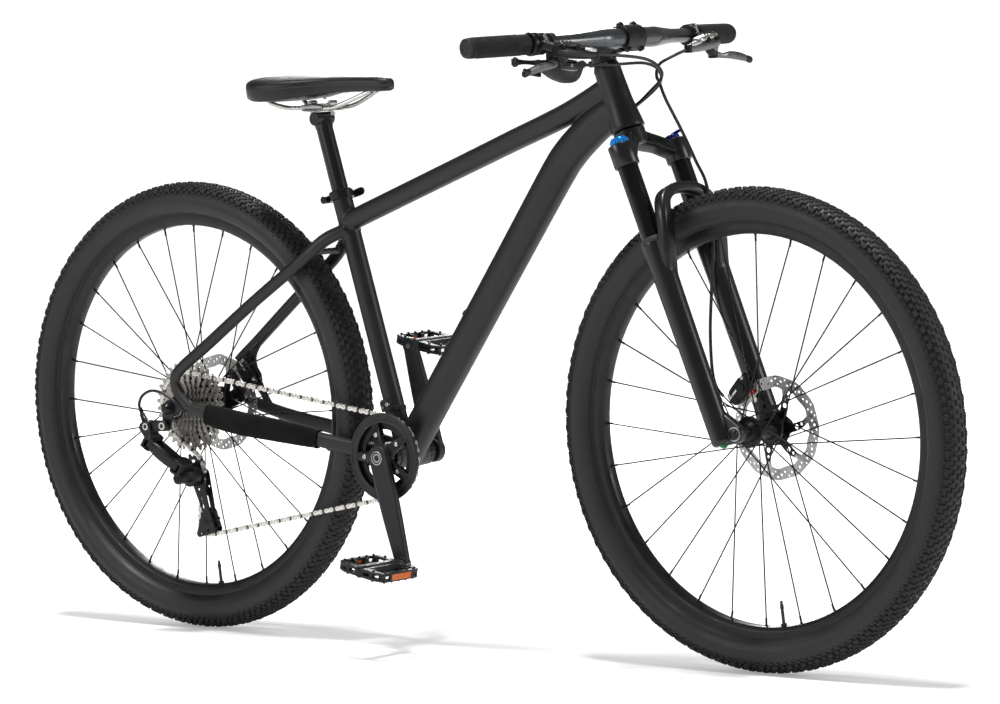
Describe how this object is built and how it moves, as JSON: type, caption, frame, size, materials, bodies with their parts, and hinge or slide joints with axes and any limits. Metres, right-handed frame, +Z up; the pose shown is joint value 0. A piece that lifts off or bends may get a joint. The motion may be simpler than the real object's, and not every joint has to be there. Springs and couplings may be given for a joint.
{
  "type": "mountain bike",
  "caption": "Hardtail mountain bike with suspension fork, disc brakes, flat handlebar, rear derailleur and platform pedals; wheels, steering, drive and levers move.",
  "frame": {"origin": "on the ground, midway between the two wheel axles, in the bike's middle plane", "axes": "+X towards the front wheel, +Y to the rider's left (away from the chain), +Z up"},
  "size_m": [1.901, 0.6546, 0.986],
  "materials": {
    "frame_paint": "satin",
    "gloss_black": "gloss",
    "black_anodised": "satin",
    "black_plastic": "matte",
    "rubber": "matte",
    "tyre": "matte",
    "steel": "satin",
    "black_steel": "satin",
    "alloy": "satin",
    "blue_anodised": "satin",
    "saddle_cover": "satin"
  },
  "bodies": {
    "frame": {"frame": "frame_paint", "headset_lower": "black_anodised", "headset_upper": "black_anodised", "bottom_bracket": "black_anodised", "seat_clamp": "black_anodised", "derailleur_hanger": "black_anodised", "derailleur_b_knuckle": "black_anodised", "rear_caliper": "alloy", "rear_axle": "black_steel", "chain": "steel"},
    "steering": {"fork_crown": "gloss_black", "top_cap": "gloss_black", "stem": "gloss_black", "stem_faceplate": "gloss_black", "handlebar": "black_anodised", "grip_left": "rubber", "grip_right": "rubber", "brake_lever_left_body": "gloss_black", "brake_lever_right_body": "gloss_black", "shifter_body": "black_plastic", "front_brake_hose": "black_plastic", "rear_brake_hose": "black_plastic", "shift_housing": "black_plastic"},
    "fork_lowers": {"fork_lowers": "gloss_black", "front_caliper": "alloy", "front_axle": "black_steel"},
    "front_wheel": {"front_tyre": "tyre", "front_rim": "black_anodised", "front_hub_and_spokes": "black_anodised", "front_rotor": "steel"},
    "rear_wheel": {"rear_tyre": "tyre", "rear_rim": "black_anodised", "rear_hub_and_spokes": "black_anodised", "rear_rotor": "steel"},
    "cassette": {"cassette": "steel"},
    "crankset": {"crank_right": "black_anodised", "crank_left": "black_anodised", "chainring": "black_steel", "guard_ring": "black_plastic"},
    "pedal_right": {"pedal_right": "black_plastic"},
    "pedal_left": {"pedal_left": "black_plastic"},
    "derailleur_outer_link": {"derailleur_outer_link": "black_anodised"},
    "derailleur_inner_link": {"derailleur_inner_link": "black_anodised"},
    "derailleur_p_knuckle": {"derailleur_p_knuckle": "black_anodised"},
    "derailleur_cage": {"derailleur_cage": "black_anodised"},
    "guide_pulley": {"guide_pulley": "black_plastic"},
    "tension_pulley": {"tension_pulley": "black_plastic"},
    "brake_lever_left_blade": {"brake_lever_left_blade": "alloy"},
    "brake_lever_right_blade": {"brake_lever_right_blade": "alloy"},
    "shift_paddle": {"shift_paddle": "black_plastic"},
    "release_paddle": {"release_paddle": "black_plastic"},
    "lockout_lever": {"lockout_lever": "blue_anodised"},
    "preload_knob": {"preload_knob": "blue_anodised"},
    "seatpost": {"seatpost": "gloss_black"},
    "saddle": {"saddle_clamp": "black_anodised", "saddle_rails": "steel", "saddle_cover": "saddle_cover"},
    "seat_clamp_lever": {"seat_clamp_lever": "black_anodised"}
  },
  "joints": [
    {"name": "steering", "type": "hinge", "parent": "frame", "child": "steering", "pos_m": [0.53321, 0, 0.3509], "axis": [-0.3746, 0, 0.9272], "range_deg": [-70, 70], "deforming": ["front_brake_hose", "rear_brake_hose", "shift_housing"]},
    {"name": "fork_travel", "type": "slide", "parent": "steering", "child": "fork_lowers", "axis": [-0.3746, 0, 0.9272], "range_m": [0, 0.1], "stiffness_N_per_m": 6000},
    {"name": "front_wheel_spin", "type": "hinge", "parent": "fork_lowers", "child": "front_wheel", "pos_m": [0.5805, 0, 0.37], "axis": [0, 1, 0], "continuous": true},
    {"name": "rear_wheel_spin", "type": "hinge", "parent": "frame", "child": "rear_wheel", "pos_m": [-0.5805, 0, 0.37], "axis": [0, 1, 0], "continuous": true},
    {"name": "crank_spin", "type": "hinge", "parent": "frame", "child": "crankset", "pos_m": [-0.1305, 0, 0.306], "axis": [0, 1, 0], "continuous": true, "deforming": ["chain"]},
    {"name": "cassette_spin", "type": "hinge", "parent": "frame", "child": "cassette", "pos_m": [-0.5805, 0, 0.37], "axis": [0, 1, 0], "continuous": true},
    {"name": "pedal_right_spin", "type": "hinge", "parent": "crankset", "child": "pedal_right", "pos_m": [-0.07555, -0.14, 0.13985], "axis": [0, 1, 0], "continuous": true},
    {"name": "pedal_left_spin", "type": "hinge", "parent": "crankset", "child": "pedal_left", "pos_m": [-0.18545, 0.14, 0.47215], "axis": [0, 1, 0], "continuous": true},
    {"name": "derailleur_swing", "type": "hinge", "parent": "frame", "child": "derailleur_outer_link", "pos_m": [-0.6145, -0.088, 0.313], "axis": [0.5948, 0, 0.8038], "range_deg": [-27, 3.5]},
    {"name": "derailleur_inner_link_swing", "type": "hinge", "parent": "frame", "child": "derailleur_inner_link", "pos_m": [-0.6145, -0.071, 0.313], "axis": [0.5948, 0, 0.8038], "range_deg": [-27, 3.5]},
    {"name": "derailleur_p_knuckle_swing", "type": "hinge", "parent": "derailleur_outer_link", "child": "derailleur_p_knuckle", "pos_m": [-0.5645, -0.08, 0.276], "axis": [0.5948, 0, 0.8038], "range_deg": [-3.5, 27]},
    {"name": "derailleur_cage_swing", "type": "hinge", "parent": "derailleur_p_knuckle", "child": "derailleur_cage", "pos_m": [-0.5605, -0.05, 0.2555], "axis": [0, 1, 0], "range_deg": [-12, 40]},
    {"name": "guide_pulley_spin", "type": "hinge", "parent": "derailleur_cage", "child": "guide_pulley", "pos_m": [-0.5715, -0.0301, 0.269], "axis": [0, 1, 0], "continuous": true},
    {"name": "tension_pulley_spin", "type": "hinge", "parent": "derailleur_cage", "child": "tension_pulley", "pos_m": [-0.5395, -0.0301, 0.181], "axis": [0, 1, 0], "continuous": true},
    {"name": "brake_lever_right_pull", "type": "hinge", "parent": "steering", "child": "brake_lever_right_blade", "pos_m": [0.36205, -0.19, 0.93465], "axis": [0, 0, -1], "range_deg": [0, 20]},
    {"name": "brake_lever_left_pull", "type": "hinge", "parent": "steering", "child": "brake_lever_left_blade", "pos_m": [0.36205, 0.19, 0.93465], "axis": [0, 0, 1], "range_deg": [0, 20]},
    {"name": "shift_paddle_push", "type": "hinge", "parent": "steering", "child": "shift_paddle", "pos_m": [0.29797, -0.156, 0.93413], "axis": [0, 0, 1], "range_deg": [0, 30]},
    {"name": "release_paddle_push", "type": "hinge", "parent": "steering", "child": "release_paddle", "pos_m": [0.29797, -0.156, 0.91613], "axis": [0, 0, 1], "range_deg": [0, 15]},
    {"name": "lockout_turn", "type": "hinge", "parent": "steering", "child": "lockout_lever", "pos_m": [0.37647, 0.065, 0.80559], "axis": [-0.3746, 0, 0.9272], "range_deg": [0, 90]},
    {"name": "preload_turn", "type": "hinge", "parent": "steering", "child": "preload_knob", "pos_m": [0.37647, -0.065, 0.80559], "axis": [-0.3746, 0, 0.9272], "range_deg": [0, 340]},
    {"name": "seatpost_height", "type": "slide", "parent": "frame", "child": "seatpost", "axis": [-0.2807, 0, 0.9598], "range_m": [-0.1, 0.05]},
    {"name": "saddle_tilt", "type": "hinge", "parent": "seatpost", "child": "saddle", "pos_m": [-0.28767, 0, 0.84349], "axis": [0, 1, 0], "range_deg": [-10, 10]},
    {"name": "seat_clamp_lever_swing", "type": "hinge", "parent": "frame", "child": "seat_clamp_lever", "pos_m": [-0.27642, 0.0215, 0.71238], "axis": [-0.2807, 0, 0.9598], "range_deg": [0, 170]}
  ],
  "couplings": [
    {"joint": "cassette_spin", "follows": "crank_spin", "ratio": 1.1429},
    {"joint": "guide_pulley_spin", "follows": "crank_spin", "ratio": -2.9091},
    {"joint": "tension_pulley_spin", "follows": "crank_spin", "ratio": 2.9091},
    {"joint": "derailleur_inner_link_swing", "follows": "derailleur_swing", "ratio": 1},
    {"joint": "derailleur_p_knuckle_swing", "follows": "derailleur_swing", "ratio": -1}
  ]
}
